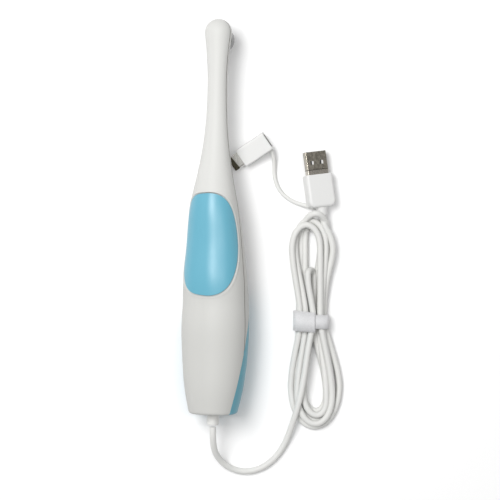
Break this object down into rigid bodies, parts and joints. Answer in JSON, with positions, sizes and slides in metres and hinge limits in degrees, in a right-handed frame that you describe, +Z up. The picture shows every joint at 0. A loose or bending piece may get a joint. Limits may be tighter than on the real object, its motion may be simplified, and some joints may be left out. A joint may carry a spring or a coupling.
{
  "type": "intraoral camera",
  "caption": "Wired dental intraoral camera handpiece with a long capture key, a tied USB lead and a tethered USB-C adapter.",
  "frame": {"origin": "bottom centre of the handpiece's bounding box, on the table it lies on", "axes": "+Y from the cord end to the tip of the head, +Z up from the table, +X to the side where the lead lies"},
  "size_m": [0.0874, 0.2472, 0.0341],
  "materials": {
    "white_cover": "satin",
    "blue_cover": "satin",
    "smoked_window": "polished",
    "lens_glass": "polished",
    "anodised_black": "anodised",
    "black_component": "matt",
    "green_board": "satin",
    "lamp": "clear",
    "amber_film": "satin",
    "steel": "plain",
    "nickel": "polished",
    "gold_contact": "plated",
    "white_jacket": "satin",
    "seal_rubber": "matt",
    "white_plastic": "satin",
    "grey_strap": "woven"
  },
  "bodies": {
    "handpiece": {"dorsal_shell": "white_cover", "ventral_shell": "white_cover", "ventral_grip_inlay": "blue_cover", "lens_window": "smoked_window", "window_seal": "seal_rubber", "led_board": "green_board", "illumination_leds": "lamp", "lens_barrel": "anodised_black", "front_lens": "lens_glass", "rear_lens": "lens_glass", "image_sensor": "black_component", "sensor_board": "green_board", "head_flex_cable": "amber_film", "flex_connector": "white_plastic", "main_board": "green_board", "board_chips": "black_component", "switch_body": "black_component", "board_screws": "steel", "shell_screws": "steel", "cord_sleeve": "white_jacket", "cord_clamp": "white_plastic", "clamp_screws": "steel", "cord_wires": "white_jacket", "cord_socket": "white_plastic", "main_cord": "white_jacket", "cord_hank": "white_jacket", "cord_tie": "grey_strap", "plug_lead": "white_jacket", "usb_a_overmould": "white_plastic", "usb_a_shell": "nickel", "usb_a_tongue": "white_plastic", "usb_a_contacts": "gold_contact", "adapter_body": "white_plastic", "usb_c_shell": "nickel", "usb_c_tongue": "black_component", "adapter_socket": "nickel", "adapter_socket_tongue": "black_component", "adapter_tether": "white_jacket"},
    "key": {"capture_key": "blue_cover", "switch_plunger": "white_plastic"}
  },
  "joints": [
    {"name": "key_press", "type": "slide", "parent": "handpiece", "child": "key", "axis": [0.3583, -0.005, -0.9336], "range_m": [0, 0.0005], "stiffness_N_per_m": 3000, "springref_m": -0.0002}
  ]
}
